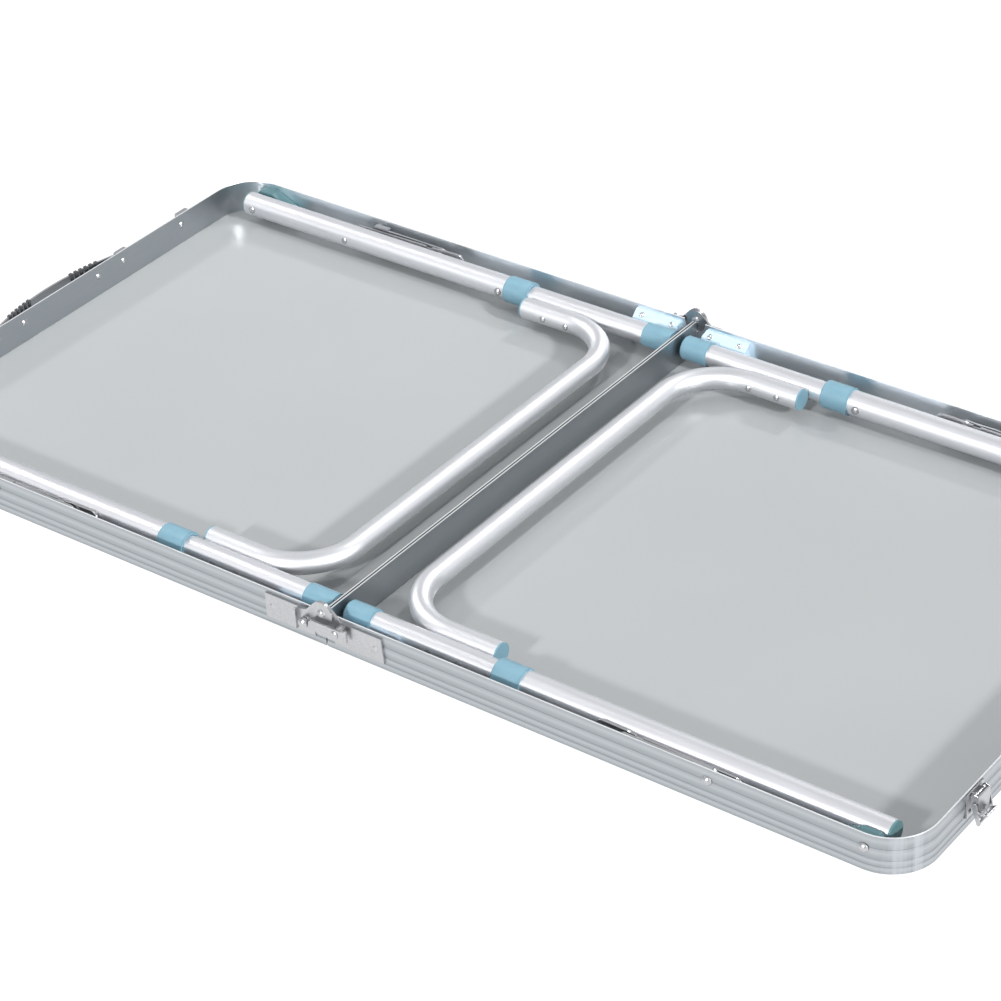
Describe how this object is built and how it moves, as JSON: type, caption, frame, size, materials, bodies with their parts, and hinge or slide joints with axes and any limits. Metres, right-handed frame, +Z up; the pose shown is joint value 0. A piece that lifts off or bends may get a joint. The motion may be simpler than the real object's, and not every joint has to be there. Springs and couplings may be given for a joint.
{
  "type": "folding table",
  "caption": "Suitcase folding table lying open on its top: two shallow aluminium trays hinged edge to edge, telescopic tube legs folded inside.",
  "frame": {"origin": "middle of the fold line on the ground the open trays lie on", "axes": "+X along the table towards the half with the toggle latches, +Y across to the back long side, +Z up out of the open trays"},
  "size_m": [1.235, 0.6252, 0.05],
  "materials": {
    "rail_aluminium": "satin anodised",
    "panel_board": "semi-gloss laminate",
    "tube_aluminium": "satin anodised",
    "zinc_steel": "zinc plated",
    "blue_plastic": "satin moulded",
    "teal_plastic": "satin moulded",
    "grey_plastic": "matte moulded"
  },
  "bodies": {
    "tray_right": {"rail_right": "rail_aluminium", "panel_right": "panel_board", "centre_wall_right": "rail_aluminium", "hinge_leaves_right": "zinc_steel", "hinge_blocks_right": "blue_plastic", "hinge_screws_right": "zinc_steel", "pivot_blocks_right": "teal_plastic", "leg_rivets_right": "zinc_steel", "hook_rivets": "zinc_steel", "latch_bases": "zinc_steel", "latch_rivets": "zinc_steel"},
    "tray_left": {"rail_left": "rail_aluminium", "panel_left": "panel_board", "centre_wall_left": "rail_aluminium", "hinge_leaves_left": "zinc_steel", "hinge_blocks_left": "blue_plastic", "hinge_screws_left": "zinc_steel", "pivot_blocks_left": "teal_plastic", "leg_rivets_left": "zinc_steel", "hinge_pins": "zinc_steel", "hook_studs": "zinc_steel", "catch_plates": "zinc_steel", "wall_rivets": "zinc_steel", "handle_strap": "zinc_steel", "handle_brackets": "zinc_steel", "handle_grips": "grey_plastic"},
    "leg_outer_right": {"outer_tubes_right": "tube_aluminium", "tube_caps_right": "teal_plastic", "collars_right": "blue_plastic", "brace_pins_right": "zinc_steel"},
    "leg_inner_right": {"inner_tubes_right": "tube_aluminium", "u_tube_right": "tube_aluminium", "feet_right": "blue_plastic", "u_rivets_right": "zinc_steel", "u_caps_right": "blue_plastic", "button_springs_right": "zinc_steel"},
    "brace_wall_right": {"brace_wall_links_right": "zinc_steel"},
    "brace_leg_right": {"brace_leg_links_right": "zinc_steel"},
    "button_front_right": {"button_front_right": "zinc_steel"},
    "button_back_right": {"button_back_right": "zinc_steel"},
    "leg_outer_left": {"outer_tubes_left": "tube_aluminium", "tube_caps_left": "teal_plastic", "collars_left": "blue_plastic", "brace_pins_left": "zinc_steel"},
    "leg_inner_left": {"inner_tubes_left": "tube_aluminium", "u_tube_left": "tube_aluminium", "feet_left": "blue_plastic", "u_rivets_left": "zinc_steel", "u_caps_left": "blue_plastic", "button_springs_left": "zinc_steel"},
    "brace_wall_left": {"brace_wall_links_left": "zinc_steel"},
    "brace_leg_left": {"brace_leg_links_left": "zinc_steel"},
    "button_front_left": {"button_front_left": "zinc_steel"},
    "button_back_left": {"button_back_left": "zinc_steel"},
    "hook_lever_front": {"hook_lever_front": "zinc_steel"},
    "latch_lever_front": {"latch_lever_front": "zinc_steel"},
    "latch_hook_front": {"latch_hook_front": "zinc_steel"},
    "hook_lever_back": {"hook_lever_back": "zinc_steel"},
    "latch_lever_back": {"latch_lever_back": "zinc_steel"},
    "latch_hook_back": {"latch_hook_back": "zinc_steel"}
  },
  "joints": [
    {"name": "fold", "type": "hinge", "parent": "tray_right", "child": "tray_left", "pos_m": [0, 0, 0.038], "axis": [0, 1, 0], "range_deg": [0, 180]},
    {"name": "leg_right_swing", "type": "hinge", "parent": "tray_right", "child": "leg_outer_right", "pos_m": [0.556, 0, 0.023], "axis": [0, -1, 0], "range_deg": [-90, 0]},
    {"name": "leg_right_extend", "type": "slide", "parent": "leg_outer_right", "child": "leg_inner_right", "axis": [-1, 0, 0], "range_m": [0, 0.12]},
    {"name": "brace_wall_right_turn", "type": "hinge", "parent": "tray_right", "child": "brace_wall_right", "pos_m": [0.406, 0, 0.025], "axis": [0, -1, 0], "range_deg": [-139.6, 0]},
    {"name": "brace_leg_right_turn", "type": "hinge", "parent": "leg_outer_right", "child": "brace_leg_right", "pos_m": [0.426, 0, 0.023], "axis": [0, -1, 0], "range_deg": [0, 131.6]},
    {"name": "button_front_right_press", "type": "slide", "parent": "leg_outer_right", "child": "button_front_right", "axis": [0, -1, 0], "range_m": [0, 0.0022], "stiffness_N_per_m": 300},
    {"name": "button_back_right_press", "type": "slide", "parent": "leg_outer_right", "child": "button_back_right", "axis": [0, 1, 0], "range_m": [0, 0.0022], "stiffness_N_per_m": 300},
    {"name": "leg_left_swing", "type": "hinge", "parent": "tray_left", "child": "leg_outer_left", "pos_m": [-0.556, 0, 0.023], "axis": [0, 1, 0], "range_deg": [-90, 0]},
    {"name": "leg_left_extend", "type": "slide", "parent": "leg_outer_left", "child": "leg_inner_left", "axis": [1, 0, 0], "range_m": [0, 0.12]},
    {"name": "brace_wall_left_turn", "type": "hinge", "parent": "tray_left", "child": "brace_wall_left", "pos_m": [-0.406, 0, 0.025], "axis": [0, 1, 0], "range_deg": [-139.6, 0]},
    {"name": "brace_leg_left_turn", "type": "hinge", "parent": "leg_outer_left", "child": "brace_leg_left", "pos_m": [-0.426, 0, 0.023], "axis": [0, 1, 0], "range_deg": [0, 131.6]},
    {"name": "button_front_left_press", "type": "slide", "parent": "leg_outer_left", "child": "button_front_left", "axis": [0, -1, 0], "range_m": [0, 0.0022], "stiffness_N_per_m": 300},
    {"name": "button_back_left_press", "type": "slide", "parent": "leg_outer_left", "child": "button_back_left", "axis": [0, 1, 0], "range_m": [0, 0.0022], "stiffness_N_per_m": 300},
    {"name": "hook_lever_front_lift", "type": "hinge", "parent": "tray_right", "child": "hook_lever_front", "pos_m": [0.018, -0.3088, 0.025], "axis": [0, 1, 0], "range_deg": [0, 35]},
    {"name": "latch_lever_front_turn", "type": "hinge", "parent": "tray_right", "child": "latch_lever_front", "pos_m": [0.605, -0.198, 0.033], "axis": [0, 1, 0], "range_deg": [-95, 0]},
    {"name": "latch_hook_front_turn", "type": "hinge", "parent": "latch_lever_front", "child": "latch_hook_front", "pos_m": [0.6065, -0.198, 0.026], "axis": [0, -1, 0], "range_deg": [0, 176]},
    {"name": "hook_lever_back_lift", "type": "hinge", "parent": "tray_right", "child": "hook_lever_back", "pos_m": [0.018, 0.3088, 0.025], "axis": [0, 1, 0], "range_deg": [0, 35]},
    {"name": "latch_lever_back_turn", "type": "hinge", "parent": "tray_right", "child": "latch_lever_back", "pos_m": [0.605, 0.198, 0.033], "axis": [0, 1, 0], "range_deg": [-95, 0]},
    {"name": "latch_hook_back_turn", "type": "hinge", "parent": "latch_lever_back", "child": "latch_hook_back", "pos_m": [0.6065, 0.198, 0.026], "axis": [0, -1, 0], "range_deg": [0, 176]}
  ],
  "couplings": [
    {"joint": "leg_right_extend", "follows": "leg_right_swing", "m_per_rad": -0.07639},
    {"joint": "brace_wall_right_turn", "follows": "leg_right_swing", "ratio": 1.5503},
    {"joint": "brace_leg_right_turn", "follows": "leg_right_swing", "ratio": -1.4614},
    {"joint": "leg_left_extend", "follows": "leg_left_swing", "m_per_rad": -0.07639},
    {"joint": "brace_wall_left_turn", "follows": "leg_left_swing", "ratio": 1.5503},
    {"joint": "brace_leg_left_turn", "follows": "leg_left_swing", "ratio": -1.4614}
  ]
}
